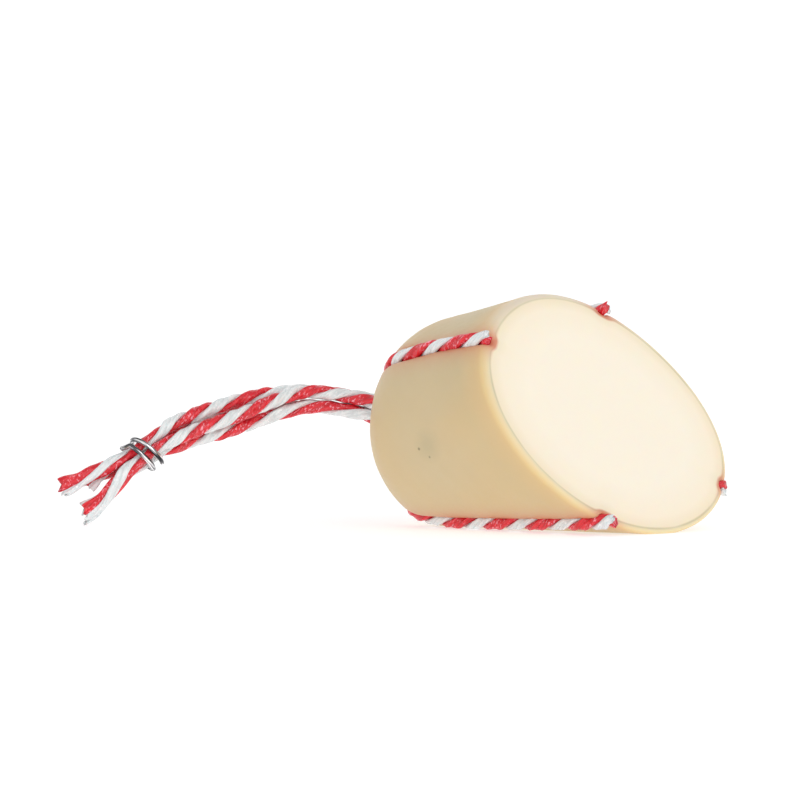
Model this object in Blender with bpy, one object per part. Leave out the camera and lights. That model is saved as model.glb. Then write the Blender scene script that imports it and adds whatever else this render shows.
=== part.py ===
"""The rounded end of a small tied provolone, cut slantwise, lying on its side.

Metres, +Z up. The cheese lies along X with its rounded end towards -X and its slanted cut face
towards +X. Four strings of a red and white twine run in channels that they have pressed into the
rind. They meet at the tip, and from there the four twines go on as a loose tail that arches to
the left and comes down to the table, held together near its end by a bent wire clip.
"""
import math

import bmesh
import bpy
from mathutils import Vector

# The cheese: its radius is the driving size, and lengths along it are in radii from the tip.
RADIUS = 0.0425
CAP_LENGTH = 0.60          # length of the rounded end
CAP_SQUARENESS = 2.59      # how soon the rounded end leaves the flat of the tip
CAP_FULLNESS = 1.93        # how full its shoulder is
TAPER = 0.119              # the body widens this much for each radius of length
FLATNESS = 0.890           # height of its section over its width
SECTION_WAVES = [(2, 0.0, -0.011), (3, 0.002, -0.014), (4, 0.0035, 0.0065)]  # count, cos, sin
TIP_LIFT = 0.10            # the tip sits this much above the middle of the section
UNDERSIDE = 0.018          # slice off the bottom that makes the flat it rests on

# The knife cut: where it crosses the middle line, and how its face leans up and turns to -Y.
CUT_AT = 1.967
CUT_LEAN = math.radians(31.3)
CUT_TURN = math.radians(14.4)
CUT_EDGE = 0.0012          # the softened edge of the cut

# The twine, and the channel that each string presses.
TWINE = 0.0048
GAP = 0.0003
SEAM_GAP = 0.0005
CHANNEL_DEPTH = 0.0026
CHANNEL_WIDTH = 0.0034
SHOULDER_BITE = 0.7        # the strings bite this share deeper where they turn to the tip
LIFT_OFF = 0.0115          # distance from the middle line where a string leaves the rind
# Each string: its angle round the cheese at the cut, from the -Y side (positive upwards), how
# far its cut end stands out of the cut face, and the tail twine that it goes on as.
STRINGS = {
    "string_front_top": (math.radians(35.5), 0.0004, "twine_1"),
    "string_front_bottom": (math.radians(-59.0), 0.0040, "twine_2"),
    "string_back_top": (math.radians(123.3), 0.0022, "twine_3"),
    "string_back_bottom": (math.radians(-137.0), 0.0002, "twine_4"),
}
# The two strings of the -Y side lean. For each: its angle, how far it has moved on by the tip,
# the length at which it starts to, and the power that shares the lean out along it.
LEANS = [
    (math.radians(35.5), math.radians(10.5), 1.97, 1.0),
    (math.radians(-59.0), math.radians(-7.0), 2.43, 0.5),
]
LEAN_WIDTH = 0.5           # radians to either side that lean with a string
QUARTERS = {"twine_1": 0, "twine_2": -1, "twine_3": 1, "twine_4": -2}
BUNDLE_TURN = math.radians(37.0)

# Place of the tip, which puts the middle of the cheese and its strings on the origin.
TIP_X = -0.0518
TIP_Y = -0.0013

# The middle line of the tail, in millimetres from under the tip: x, y, and height on the table.
TAIL_LINE = [
    (-2.0, 0.0, 38.8), (-8.0, 0.0, 40.0), (-15.6, -0.2, 42.1), (-28.0, -2.9, 44.4),
    (-39.4, -9.6, 45.4), (-47.4, -20.6, 43.2), (-56.4, -35.0, 38.5), (-62.7, -50.1, 34.0),
    (-66.1, -60.5, 29.5), (-68.7, -66.6, 25.3), (-72.8, -74.3, 20.0), (-77.1, -82.7, 13.0),
    (-82.7, -94.6, 5.8),
]

# By millimetres along the tail: how far each twine is from the middle line, how much the four
# have turned round it, and how thick a twine is where the clip squeezes them.
TAIL_SPREAD = [(0, 3.65), (30, 3.8), (45, 4.1), (72, 4.9), (93, 4.4),
               (102, 3.1), (114, 3.1), (123, 3.7)]
TAIL_TURN = [(0, 0.0), (14, 8.0), (34, 8.0), (70, -38.0), (95, -46.0), (140, -50.0)]
TAIL_SQUEEZE = [(0, 1.0), (93, 1.0), (102, 0.83), (114, 0.83), (122, 1.0)]
SEAM = 6.5                 # the strings end here and the tail twines begin
SPLAY_FROM = 114.0         # past the clip the twines spread apart
# Where each twine ends, and how far its end has spread to the -Y side and upwards.
TAIL_ENDS = {
    "twine_1": (138.5, -1.0, -4.4),
    "twine_2": (136.5, -1.9, -2.2),
    "twine_3": (141.0, -1.0, 2.8),
    "twine_4": (130.0, -1.0, 0.8),
}

# The wire clip round the twines: a turn and a half.
WIRE = 0.0018
CLIP_AT = 108.3
CLIP_RADIUS = 0.0063
CLIP_PITCH = 0.0040
CLIP_SKEW = 0.0011         # its top leans to the free end and its bottom to the cheese
CLIP_START = math.radians(62.0)
CLIP_END = math.radians(-432.0)


def clear_scene():
    for thing in list(bpy.data.objects):
        bpy.data.objects.remove(thing, do_unlink=True)


def material(name, colour, roughness, metallic=0.0):
    made = bpy.data.materials.new(name)
    made.use_nodes = True
    shader = made.node_tree.nodes["Principled BSDF"]
    shader.inputs["Base Color"].default_value = (*colour, 1.0)
    shader.inputs["Roughness"].default_value = roughness
    shader.inputs["Metallic"].default_value = metallic
    return made


def along(table, place):
    """Value at a place in a list of (place, value), with smooth steps between them."""
    for (start, low), (stop, high) in zip(table, table[1:]):
        if place <= stop:
            share = (place - start) / (stop - start)
            return low + (high - low) * share * share * (3.0 - 2.0 * share)
    return table[-1][1]


def lean(length, angle):
    """How far round the cheese a line of the rind has moved on, this far from the tip."""
    total = 0.0
    for middle, most, start, power in LEANS:
        share = max(0.0, 1.0 - length / start) ** power
        total += most * share * math.exp(-((angle - middle) / LEAN_WIDTH) ** 2)
    return total


def rind_point(length, angle):
    """Point of the rind before the strings press it: length in radii from the tip."""
    angle = (angle + math.pi) % (2.0 * math.pi) - math.pi
    angle += lean(length, angle)
    width = 1.0 + TAPER * (length - CAP_LENGTH)
    wave = 1.0
    for count, cosine, sine in SECTION_WAVES:
        wave += cosine * math.cos(count * angle) + sine * math.sin(count * angle)
    inside = max(0.0, 1.0 - length / CAP_LENGTH)
    full = (1.0 - inside ** CAP_SQUARENESS) ** (1.0 / CAP_FULLNESS)
    middle = FLATNESS * width + TIP_LIFT * inside * inside - UNDERSIDE
    out = width * full * wave
    x = TIP_X + RADIUS * length
    y = TIP_Y - RADIUS * out * math.cos(angle)
    z = RADIUS * (middle + FLATNESS * out * math.sin(angle))
    return Vector((x, y, z))


def rind_normal(length, angle):
    """Direction straight out of the rind."""
    step = 1e-4
    low = max(length, 2.0 * step)
    slope = rind_point(low + step, angle) - rind_point(low - step, angle)
    round_way = rind_point(low, angle + step) - rind_point(low, angle - step)
    return slope.cross(round_way).normalized()


def from_middle(length, angle):
    """Distance of a point of the rind from the middle line of the cheese."""
    around = rind_point(length, angle)
    opposite = rind_point(length, angle + math.pi)
    return (around - opposite).length / 2.0


def channel_depth(length, angle):
    """How deep the strings have pressed the rind here."""
    out = from_middle(length, angle)
    bite = 1.0 + SHOULDER_BITE * along([(0.35, 1.0), (0.95, 0.0)], max(length, 0.35))
    fade = bite * min(1.0, 0.35 + out / 0.018)
    width = CHANNEL_WIDTH * bite ** 0.25
    deepest = 0.0
    for string_angle, _, _ in STRINGS.values():
        turn = abs((angle - string_angle + math.pi) % (2.0 * math.pi) - math.pi)
        aside = out * math.sin(min(turn, math.pi / 2.0))
        deepest = max(deepest, math.exp(-(aside / width) ** 4))
    return CHANNEL_DEPTH * fade * deepest


def pressed_point(length, angle):
    return rind_point(length, angle) - rind_normal(length, angle) * channel_depth(length, angle)


def mesh_angles():
    """Angles of the mesh lines: close together beside each string, wider between strings."""
    beside = [0.0, 0.019, 0.038, 0.056, 0.075, 0.094, 0.118, 0.153]
    strings = sorted(angle for angle, _, _ in STRINGS.values())
    angles = []
    for index, start in enumerate(strings):
        stop = strings[(index + 1) % 4] + (2.0 * math.pi if index == 3 else 0.0)
        angles += [start + step for step in beside]
        wide = 7
        free = stop - start - 2.0 * beside[-1]
        angles += [start + beside[-1] + free * (n + 1) / wide for n in range(wide)]
        angles += [stop - step for step in reversed(beside[1:-1])]
    return angles


def cut_plane():
    """A point of the knife cut and the direction that its face looks."""
    on_middle = FLATNESS * (1.0 + TAPER * (CUT_AT - CAP_LENGTH)) - UNDERSIDE
    point = Vector((TIP_X + RADIUS * CUT_AT, TIP_Y, RADIUS * on_middle))
    level = math.cos(CUT_LEAN)
    facing = (level * math.cos(CUT_TURN), -level * math.sin(CUT_TURN), math.sin(CUT_LEAN))
    return point, Vector(facing)


def slice_off(bm, point, facing):
    """Cut everything off that lies beyond a plane, and close the cut with one face."""
    whole = bm.verts[:] + bm.edges[:] + bm.faces[:]
    cut = bmesh.ops.bisect_plane(bm, geom=whole, plane_co=point, plane_no=facing,
                                 clear_outer=True, dist=1e-6)
    rim = [piece for piece in cut["geom_cut"] if isinstance(piece, bmesh.types.BMEdge)]
    return bmesh.ops.contextual_create(bm, geom=rim)["faces"][0]


def make_cheese(finish):
    """Rind from rings round the middle line, then the resting flat, the cut and its soft edge."""
    angles = mesh_angles()
    cap_rings = 13
    lengths = [CAP_LENGTH * (n / cap_rings) ** 2 for n in range(1, cap_rings + 1)]
    lengths += [0.85, 1.2, 1.6, 2.0, 2.4, 2.9]
    bm = bmesh.new()
    tip = bm.verts.new(pressed_point(0.0, 0.0))
    rings = []
    for length in lengths:
        rings.append([bm.verts.new(pressed_point(length, angle)) for angle in angles])
    for one, other in zip(rings[0], rings[0][1:] + rings[0][:1]):
        bm.faces.new((tip, other, one))
    for near, far in zip(rings, rings[1:]):
        for n in range(len(angles)):
            after = (n + 1) % len(angles)
            bm.faces.new((near[n], near[after], far[after], far[n]))
    bm.faces.new(rings[-1])
    bmesh.ops.recalc_face_normals(bm, faces=bm.faces[:])
    slice_off(bm, Vector((0.0, 0.0, 0.0)), Vector((0.0, 0.0, -1.0)))
    face = slice_off(bm, *cut_plane())
    bmesh.ops.bevel(bm, geom=face.edges[:] + face.verts[:], offset=CUT_EDGE, segments=2,
                    profile=0.5, affect="EDGES", clamp_overlap=True)
    bmesh.ops.recalc_face_normals(bm, faces=bm.faces[:])
    for side in bm.faces:
        side.smooth = len(side.verts) < 5
    mesh = bpy.data.meshes.new("cheese")
    bm.to_mesh(mesh)
    bm.free()
    cheese = bpy.data.objects.new("cheese", mesh)
    cheese.data.materials.append(finish)
    bpy.context.collection.objects.link(cheese)
    return cheese


def smooth_line(points, count):
    """Evenly spaced points on a curve through the given ones."""
    padded = [points[0] * 2.0 - points[1]] + points + [points[-1] * 2.0 - points[-2]]
    fine = []
    for a, b, c, d in zip(padded, padded[1:], padded[2:], padded[3:]):
        for n in range(24):
            t = n / 24.0
            fine.append(0.5 * (2.0 * b + (c - a) * t + (2.0 * a - 5.0 * b + 4.0 * c - d) * t ** 2
                               + (3.0 * b - a - 3.0 * c + d) * t ** 3))
    fine.append(points[-1])
    reached = [0.0]
    for one, other in zip(fine, fine[1:]):
        reached.append(reached[-1] + (other - one).length)
    spaced = []
    index = 0
    for n in range(count):
        goal = reached[-1] * n / (count - 1)
        while index < len(fine) - 2 and reached[index + 1] < goal:
            index += 1
        share = (goal - reached[index]) / (reached[index + 1] - reached[index])
        spaced.append(fine[index].lerp(fine[index + 1], share))
    return spaced


def tail_line():
    """Middle line of the tail as points a half millimetre apart, in the part's own place."""
    points = [Vector((TIP_X + x / 1000.0, TIP_Y + y / 1000.0, z / 1000.0)) for x, y, z in TAIL_LINE]
    coarse = smooth_line(points, 200)
    whole = sum((b - a).length for a, b in zip(coarse, coarse[1:]))
    return smooth_line(points, round(whole / 0.0005) + 1)


def tail_frame(line, place):
    """Point, forward, -Y-side and upward directions at some millimetres along the tail."""
    index = min(max(place * 2.0, 0.0), len(line) - 1.001)
    low = int(index)
    point = line[low].lerp(line[low + 1], index - low)
    forward = (line[min(low + 5, len(line) - 1)] - line[max(low - 4, 0)]).normalized()
    side = Vector((0.0, 0.0, 1.0)).cross(forward).normalized()
    return point, forward, side, forward.cross(side)


def bundle_point(line, place, name):
    """Middle of one of the four twines at some millimetres along the tail."""
    point, forward, side, up = tail_frame(line, place)
    turn = BUNDLE_TURN + QUARTERS[name] * math.pi / 2.0 + math.radians(along(TAIL_TURN, place))
    spread = along(TAIL_SPREAD, place)
    stop, end_side, end_up = TAIL_ENDS[name]
    splay = along([(SPLAY_FROM, 0.0), (stop, 1.0)], max(place, SPLAY_FROM))
    sideways = spread * math.cos(turn) + end_side * splay
    upwards = spread * math.sin(turn) + end_up * splay
    return point + (side * sideways + up * upwards) / 1000.0


def tube(name, points, thickness, finish, squeeze=None):
    """Round bar along the points, with closed ends; squeeze gives its share of thickness."""
    curve = bpy.data.curves.new(name, "CURVE")
    curve.dimensions = "3D"
    curve.bevel_depth = thickness / 2.0
    curve.bevel_resolution = 2
    curve.use_fill_caps = True
    spline = curve.splines.new("POLY")
    spline.points.add(len(points) - 1)
    for n, point in enumerate(points):
        spline.points[n].co = (*point, 1.0)
        spline.points[n].radius = squeeze[n] if squeeze else 1.0
    spline.use_smooth = True
    bar = bpy.data.objects.new(name, curve)
    curve.materials.append(finish)
    bpy.context.collection.objects.link(bar)
    return bar


def string_points(line, angle, overhang, name):
    """Route of one string: out of the bundle, over the shoulder, down its channel to the cut."""
    plane_point, facing = cut_plane()
    lengths = [CAP_LENGTH * (n / 60.0) ** 2 for n in range(1, 61)]
    lengths += [CAP_LENGTH + n * 0.02 for n in range(1, 120)]
    on_rind = []
    for length in lengths:
        if from_middle(length, angle) < LIFT_OFF:
            continue
        lift = TWINE / 2.0 + GAP + 0.00005 - channel_depth(length, angle)
        point = rind_point(length, angle) + rind_normal(length, angle) * lift
        if (point - plane_point).dot(facing) > overhang:
            break
        on_rind.append(point)
    start = bundle_point(line, SEAM, name)
    forward = (bundle_point(line, SEAM + 4.0, name) - start).normalized()
    landing = on_rind[0]
    away = (on_rind[0] - on_rind[1]).normalized()
    reach = (landing - start).length * 0.42
    bend = []
    for n in range(7):
        t = n / 7.0
        one, two = start - forward * reach, landing + away * reach
        bend.append(start * (1 - t) ** 3 + one * 3 * t * (1 - t) ** 2
                    + two * 3 * t * t * (1 - t) + landing * t ** 3)
    return smooth_line(bend + on_rind, 30)


def make_strings(finish):
    line = tail_line()
    for name, (angle, overhang, tail) in STRINGS.items():
        tube(name, string_points(line, angle, overhang, tail), TWINE, finish)


def make_tail(finish):
    """The four free twines, each from its string's end to its own cut end."""
    line = tail_line()
    for name, (stop, _, _) in TAIL_ENDS.items():
        start = SEAM + SEAM_GAP * 1000.0
        places = [start + (stop - start) * n / 24.0 for n in range(25)]
        points = [bundle_point(line, place, name) for place in places]
        squeeze = [along(TAIL_SQUEEZE, place) for place in places]
        tube(name, points, TWINE, finish, squeeze)


def make_clip(finish):
    """Wire bent a turn and a half round the twines, its first end left standing off."""
    line = tail_line()
    centre, forward, side, up = tail_frame(line, CLIP_AT)
    points = [centre + forward * 0.0072 + side * 0.0040 + up * 0.0072]
    steps = 40
    for n in range(steps + 1):
        turn = CLIP_START + (CLIP_END - CLIP_START) * n / steps
        advance = CLIP_PITCH * (0.62 - n / steps * 1.37) + CLIP_SKEW * math.sin(turn)
        out = CLIP_RADIUS * (1.0 + 0.10 * (1.0 - min(n, 4) / 4.0))
        points.append(centre + forward * advance
                      + side * out * math.cos(turn) + up * out * math.sin(turn))
    tube("clip", points, WIRE, finish)


clear_scene()
cheese_finish = material("cheese", (0.86, 0.75, 0.55), 0.45)
twine_finish = material("twine", (0.62, 0.10, 0.12), 0.40)
steel_finish = material("steel", (0.55, 0.54, 0.55), 0.25, 1.0)
make_cheese(cheese_finish)
make_strings(twine_finish)
make_tail(twine_finish)
make_clip(steel_finish)
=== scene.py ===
"""A tied provolone end with its twine and clip, dressed over its CAD frame.

The cheese is one surface of revolution with a superellipse shoulder, flattened a little and
pressed by four strings, then cut by a slanted plane. The twine is two twisted plies of plastic
film, each ply a flattened superellipse carried round the string's middle line on a left-handed
helix. The clip is a round wire on a short skewed helix. Metres, +Z up.
"""
# %% Frame
import math

import bpy
import numpy as np
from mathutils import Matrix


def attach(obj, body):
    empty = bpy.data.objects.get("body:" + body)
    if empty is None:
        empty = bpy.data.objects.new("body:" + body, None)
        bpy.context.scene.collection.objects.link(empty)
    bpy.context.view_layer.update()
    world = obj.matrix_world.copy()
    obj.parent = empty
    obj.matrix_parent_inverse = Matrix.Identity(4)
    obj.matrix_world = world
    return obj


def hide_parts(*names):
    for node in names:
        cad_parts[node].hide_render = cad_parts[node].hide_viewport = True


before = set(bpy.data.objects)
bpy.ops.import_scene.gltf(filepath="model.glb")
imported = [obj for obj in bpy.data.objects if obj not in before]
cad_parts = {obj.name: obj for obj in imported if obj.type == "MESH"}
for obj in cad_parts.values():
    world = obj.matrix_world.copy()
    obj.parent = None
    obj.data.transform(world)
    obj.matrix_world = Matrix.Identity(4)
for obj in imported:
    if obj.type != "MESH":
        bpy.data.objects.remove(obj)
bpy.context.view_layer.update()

# %% [markdown]
# The camera stands level with the cheese, a little in front and to the cut side, with a long
# lens, so that the slanted face and the whole tail show side by side.

# %% Camera
LOOK_AT = (-0.0440, -0.0150, 0.0451)
CAMERA_TURN = math.radians(36.0)
CAMERA_DISTANCE = 0.80

camera_data = bpy.data.cameras.new("camera")
camera_data.lens = 100.0
camera_data.sensor_width = 36.0
camera = bpy.data.objects.new("camera", camera_data)
camera.location = (LOOK_AT[0] + CAMERA_DISTANCE * math.sin(CAMERA_TURN),
                   LOOK_AT[1] - CAMERA_DISTANCE * math.cos(CAMERA_TURN), LOOK_AT[2])
camera.rotation_euler = (math.radians(90.0), 0.0, CAMERA_TURN)
bpy.context.collection.objects.link(camera)
bpy.context.scene.camera = camera
bpy.context.scene.view_settings.view_transform = "Standard"
print("camera at", [round(value, 3) for value in camera.location])

# %% [markdown]
# The look has to lie on the CAD part, so it is worked out from the same driving sizes, and not
# from its meshes, which hold no formulas.
# Lengths along the cheese are in radii from the tip, places along the tail in millimetres, and
# the rest is in metres.

# %% Sizes of the cheese
RADIUS = 0.0425
CAP_LENGTH = 0.60
CAP_SQUARENESS = 2.59
CAP_FULLNESS = 1.93
TAPER = 0.119
FLATNESS = 0.890
SECTION_WAVES = [(2, 0.0, -0.011), (3, 0.002, -0.014), (4, 0.0035, 0.0065)]
TIP_LIFT = 0.10
UNDERSIDE = 0.018
CUT_AT = 1.967
CUT_LEAN = math.radians(31.3)
CUT_TURN = math.radians(14.4)
TIP_X = -0.0518
TIP_Y = -0.0013
print("cheese radius", RADIUS, "m, cut leaning", round(math.degrees(CUT_LEAN), 1), "degrees")

# %% Sizes of the strings and their channels
TWINE = 0.0048
GAP = 0.0003
CHANNEL_DEPTH = 0.0026
CHANNEL_WIDTH = 0.0034
SHOULDER_BITE = 0.7
LIFT_OFF = 0.0115
# Each string: its angle round the cheese at the cut, how far its end stands out, its tail twine.
STRINGS = {
    "string_front_top": (math.radians(35.5), 0.0004, "twine_1"),
    "string_front_bottom": (math.radians(-59.0), 0.0040, "twine_2"),
    "string_back_top": (math.radians(123.3), 0.0022, "twine_3"),
    "string_back_bottom": (math.radians(-137.0), 0.0002, "twine_4"),
}
# Two strings lean: the angle, how far it moves on by the tip, where that starts, and its power.
LEANS = [(math.radians(35.5), math.radians(10.5), 1.97, 1.0),
         (math.radians(-59.0), math.radians(-7.0), 2.43, 0.5)]
LEAN_WIDTH = 0.5
print(len(STRINGS), "strings of", TWINE, "m twine")

# %% Sizes of the tail
QUARTERS = {"twine_1": 0, "twine_2": -1, "twine_3": 1, "twine_4": -2}
BUNDLE_TURN = math.radians(37.0)
# The middle line of the four twines, in millimetres from under the tip.
TAIL_LINE = [
    (-2.0, 0.0, 38.8), (-8.0, 0.0, 40.0), (-15.6, -0.2, 42.1), (-28.0, -2.9, 44.4),
    (-39.4, -9.6, 45.4), (-47.4, -20.6, 43.2), (-56.4, -35.0, 38.5), (-62.7, -50.1, 34.0),
    (-66.1, -60.5, 29.5), (-68.7, -66.6, 25.3), (-72.8, -74.3, 20.0), (-77.1, -82.7, 13.0),
    (-82.7, -94.6, 5.8),
]
# By millimetres along: distance of a twine from that line, turn of the four, squeeze of a twine.
TAIL_SPREAD = [(0, 3.65), (30, 3.8), (45, 4.1), (72, 4.9), (93, 4.4),
               (102, 3.1), (114, 3.1), (123, 3.7)]
TAIL_TURN = [(0, 0.0), (14, 8.0), (34, 8.0), (70, -38.0), (95, -46.0), (140, -50.0)]
TAIL_SQUEEZE = [(0, 1.0), (93, 1.0), (102, 0.83), (114, 0.83), (122, 1.0)]
SEAM = 6.5
SPLAY_FROM = 114.0
# Where each twine ends, and how far its end has spread sideways and upwards.
TAIL_ENDS = {
    "twine_1": (138.5, -1.0, -4.4),
    "twine_2": (136.5, -1.9, -2.2),
    "twine_3": (141.0, -1.0, 2.8),
    "twine_4": (130.0, -1.0, 0.8),
}
print("twines end at", [stop for stop, _, _ in TAIL_ENDS.values()], "mm along the tail")

# %% Sizes of the clip
WIRE = 0.0018
CLIP_AT = 108.3
CLIP_RADIUS = 0.0063
CLIP_PITCH = 0.0040
CLIP_SKEW = 0.0011
CLIP_START = math.radians(62.0)
CLIP_END = math.radians(-432.0)
# Where the wire's standing end is from the middle of the clip: ahead, aside and up.
CLIP_STAND = (0.0072, 0.0040, 0.0072)
print("clip turns", round(math.degrees(CLIP_START - CLIP_END)), "degrees")

# %% [markdown]
# Strings, twines and wire are long thin things that follow a line: here an array of evenly
# spaced points on a smooth curve through a few chosen ones. A curve object with a bevel would
# also do, but arrays let the plies be twisted round the line later.

# %% Lines
def along(table, place):
    """Values at places in a list of (place, value), with smooth steps between them."""
    place = np.asarray(place, float)
    value = np.full(place.shape, float(table[0][1]))
    for (start, low), (stop, high) in zip(table, table[1:]):
        share = np.clip((place - start) / (stop - start), 0.0, 1.0)
        value = np.where(place > start, low + (high - low) * share * share * (3 - 2 * share), value)
    return value


def unit(vectors):
    """Vectors divided by their own lengths."""
    return vectors / np.linalg.norm(vectors, axis=-1, keepdims=True)


def reached(points):
    """Distance along a line of points, at each point."""
    steps = np.linalg.norm(np.diff(points, axis=0), axis=1)
    return np.concatenate([[0.0], np.cumsum(steps)])


def smooth_line(points, count):
    """Evenly spaced points on a Catmull-Rom curve through the given ones."""
    points = np.asarray(points, float)
    padded = np.vstack([2 * points[0] - points[1], points, 2 * points[-1] - points[-2]])
    t = (np.arange(24) / 24.0)[None, :, None]
    a, b, c, d = (padded[n:len(padded) - 3 + n, None, :] for n in range(4))
    fine = 0.5 * (2 * b + (c - a) * t + (2 * a - 5 * b + 4 * c - d) * t ** 2
                  + (3 * b - a - 3 * c + d) * t ** 3)
    fine = np.vstack([fine.reshape(-1, 3), points[-1]])
    at = reached(fine)
    goal = np.linspace(0.0, at[-1], count)
    return np.stack([np.interp(goal, at, fine[:, k]) for k in range(3)], axis=1)


# %% [markdown]
# The four twines hang together as a loose bundle. Each is a quarter turn from the next round
# the tail's middle line, and the whole bundle turns slowly, tightens at the clip and then opens.

# %% Bundle of the tail
def tail_frames(place):
    """Points, forward, -Y-side and upward directions at some millimetres along the tail."""
    points = np.array([(TIP_X + x / 1000, TIP_Y + y / 1000, z / 1000) for x, y, z in TAIL_LINE])
    whole = reached(smooth_line(points, 200))[-1]
    line = smooth_line(points, round(whole / 0.0005) + 1)
    index = np.clip(np.asarray(place, float) * 2.0, 0.0, len(line) - 1.001)
    low = index.astype(int)
    share = (index - low)[..., None]
    point = line[low] * (1 - share) + line[low + 1] * share
    ahead = line[np.minimum(low + 5, len(line) - 1)]
    forward = unit(ahead - line[np.maximum(low - 4, 0)])
    side = unit(np.cross((0.0, 0.0, 1.0), forward))
    return point, forward, side, np.cross(forward, side)


def bundle_points(place, name):
    """Middle of one of the four twines at some millimetres along the tail."""
    point, _, side, up = tail_frames(place)
    turn = BUNDLE_TURN + QUARTERS[name] * math.pi / 2 + np.radians(along(TAIL_TURN, place))
    spread = along(TAIL_SPREAD, place)
    stop, end_side, end_up = TAIL_ENDS[name]
    splay = along([(SPLAY_FROM, 0.0), (stop, 1.0)], place)
    sideways = (spread * np.cos(turn) + end_side * splay)[..., None]
    upwards = (spread * np.sin(turn) + end_up * splay)[..., None]
    return point + (side * sideways + up * upwards) / 1000.0


example_end = bundle_points(np.array([TAIL_ENDS["twine_1"][0]]), "twine_1")[0]
print("twine_1 ends at", example_end.round(4))

# %% [markdown]
# The rind of a hung cheese is a smooth bulging skin, round at the tip. It could be sculpted, but
# a formula of two parameters, length from the tip and angle round the middle line, can be asked
# anywhere for a point, a normal or a channel.

# %% Rind
def wrapped(angle):
    """The same angle between half a turn back and half a turn on."""
    return (angle + math.pi) % (2 * math.pi) - math.pi


def rind_points(length, angle):
    """Points of the rind before the strings press it: length in radii from the tip."""
    angle = wrapped(np.asarray(angle))
    angle = angle + sum(most * np.clip(1.0 - length / start, 0.0, None) ** power
                        * np.exp(-((angle - middle) / LEAN_WIDTH) ** 2)
                        for middle, most, start, power in LEANS)
    width = 1.0 + TAPER * (length - CAP_LENGTH)
    wave = 1.0 + sum(cosine * np.cos(count * angle) + sine * np.sin(count * angle)
                     for count, cosine, sine in SECTION_WAVES)
    inside = np.clip(1.0 - length / CAP_LENGTH, 0.0, 1.0)
    full = (1.0 - inside ** CAP_SQUARENESS) ** (1.0 / CAP_FULLNESS)
    middle = FLATNESS * width + TIP_LIFT * inside * inside - UNDERSIDE
    out = width * full * wave
    return np.stack([TIP_X + RADIUS * length, TIP_Y - RADIUS * out * np.cos(angle),
                     RADIUS * (middle + FLATNESS * out * np.sin(angle))], axis=-1)


def rind_normals(length, angle):
    """Directions straight out: the slope along the cheese crossed with the way round it."""
    step = 1e-4
    low = np.maximum(length, 2 * step)
    slope = rind_points(low + step, angle) - rind_points(low - step, angle)
    round_way = rind_points(low, angle + step) - rind_points(low, angle - step)
    return unit(np.cross(slope, round_way))


def cut_plane():
    """A point of the knife cut and the direction that its face looks."""
    on_middle = FLATNESS * (1.0 + TAPER * (CUT_AT - CAP_LENGTH)) - UNDERSIDE
    point = np.array([TIP_X + RADIUS * CUT_AT, TIP_Y, RADIUS * on_middle])
    level = math.cos(CUT_LEAN)
    facing = np.array([level * math.cos(CUT_TURN), -level * math.sin(CUT_TURN), math.sin(CUT_LEAN)])
    return point, facing


print("cut face looks along", cut_plane()[1].round(3))

# %% [markdown]
# Under the hanging weight the strings sink into the young rind, and it grows round them. The
# channel could be cut with a Boolean, but a depth taken off along the normal keeps the skin in
# one piece: a round groove of the twine's own radius, with a short lip to each side.

# %% Channels of the strings
def aside_of_strings(length, angle):
    """Distance from the middle line, and from the nearest string's line, in metres."""
    across = rind_points(length, angle) - rind_points(length, angle + math.pi)
    out = np.linalg.norm(across, axis=-1) / 2.0
    nearest = np.full(out.shape, 1.0)
    for string_angle, _, _ in STRINGS.values():
        turn = np.abs(wrapped(angle - string_angle))
        nearest = np.minimum(nearest, out * np.sin(np.minimum(turn, math.pi / 2)))
    return out, nearest


def deepest_and_width(length, out):
    """Depth of a channel's bottom, more at the shoulder and less at the tip, and its width."""
    bite = 1.0 + SHOULDER_BITE * along([(0.35, 1.0), (0.95, 0.0)], length)
    fade = bite * np.minimum(1.0, 0.35 + out / 0.018)
    return CHANNEL_DEPTH * fade, CHANNEL_WIDTH * bite ** 0.25


def channel_depth(length, angle):
    """Depth of the CAD part's channel, which places the strings: a flat-topped bell."""
    out, aside = aside_of_strings(length, angle)
    deepest, width = deepest_and_width(length, out)
    return deepest * np.exp(-(aside / width) ** 4)


SEAT_RADIUS = 0.00238
SEAT_LIP = 0.0003
LIP_WIDTH = 0.0008


def seated_depth(length, angle):
    """How deep the rind lies under a string that it has grown round: a round groove and a lip."""
    out, aside = aside_of_strings(length, angle)
    deepest, _ = deepest_and_width(length, out)
    sunk = deepest - TWINE / 2 - GAP
    under = np.sqrt(np.clip(SEAT_RADIUS ** 2 - aside ** 2, 0.0, None)) + sunk
    spread = LIP_WIDTH + 0.5 * np.clip(sunk, 0.0, None)
    beyond = np.clip(aside - SEAT_RADIUS + SEAT_LIP, 0.0, None)
    lip = (np.clip(sunk, 0.0, None) + SEAT_LIP) * np.exp(-(beyond / spread) ** 2)
    return np.maximum(np.where(aside < SEAT_RADIUS, under, 0.0), lip)


def pressed_points(length, angle):
    """Points of the rind with the strings' grooves in it."""
    depth = seated_depth(length, angle)[..., None]
    return rind_points(length, angle) - rind_normals(length, angle) * depth


def length_to_cut(angle, short_of, surface):
    """How far from the tip each line of a surface meets the plane that lies short of the cut."""
    point, facing = cut_plane()
    low, high = np.full(angle.shape, 0.3), np.full(angle.shape, 4.0)
    for _ in range(40):
        middle = (low + high) / 2
        beyond = (surface(middle, angle) - point) @ facing > -short_of
        low, high = np.where(beyond, low, middle), np.where(beyond, middle, high)
    return (low + high) / 2


deepest_groove = seated_depth(np.array([1.0]), np.array([STRINGS["string_front_top"][0]]))
print("groove at the upper string", deepest_groove.round(5), "m deep")

# %% [markdown]
# Blender takes a mesh fastest as flat arrays. Every piece below is a grid of points with the
# same pattern of quads, closed round its columns, and a fan at each end. The order of a face's
# corners says which side is outside.

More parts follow.
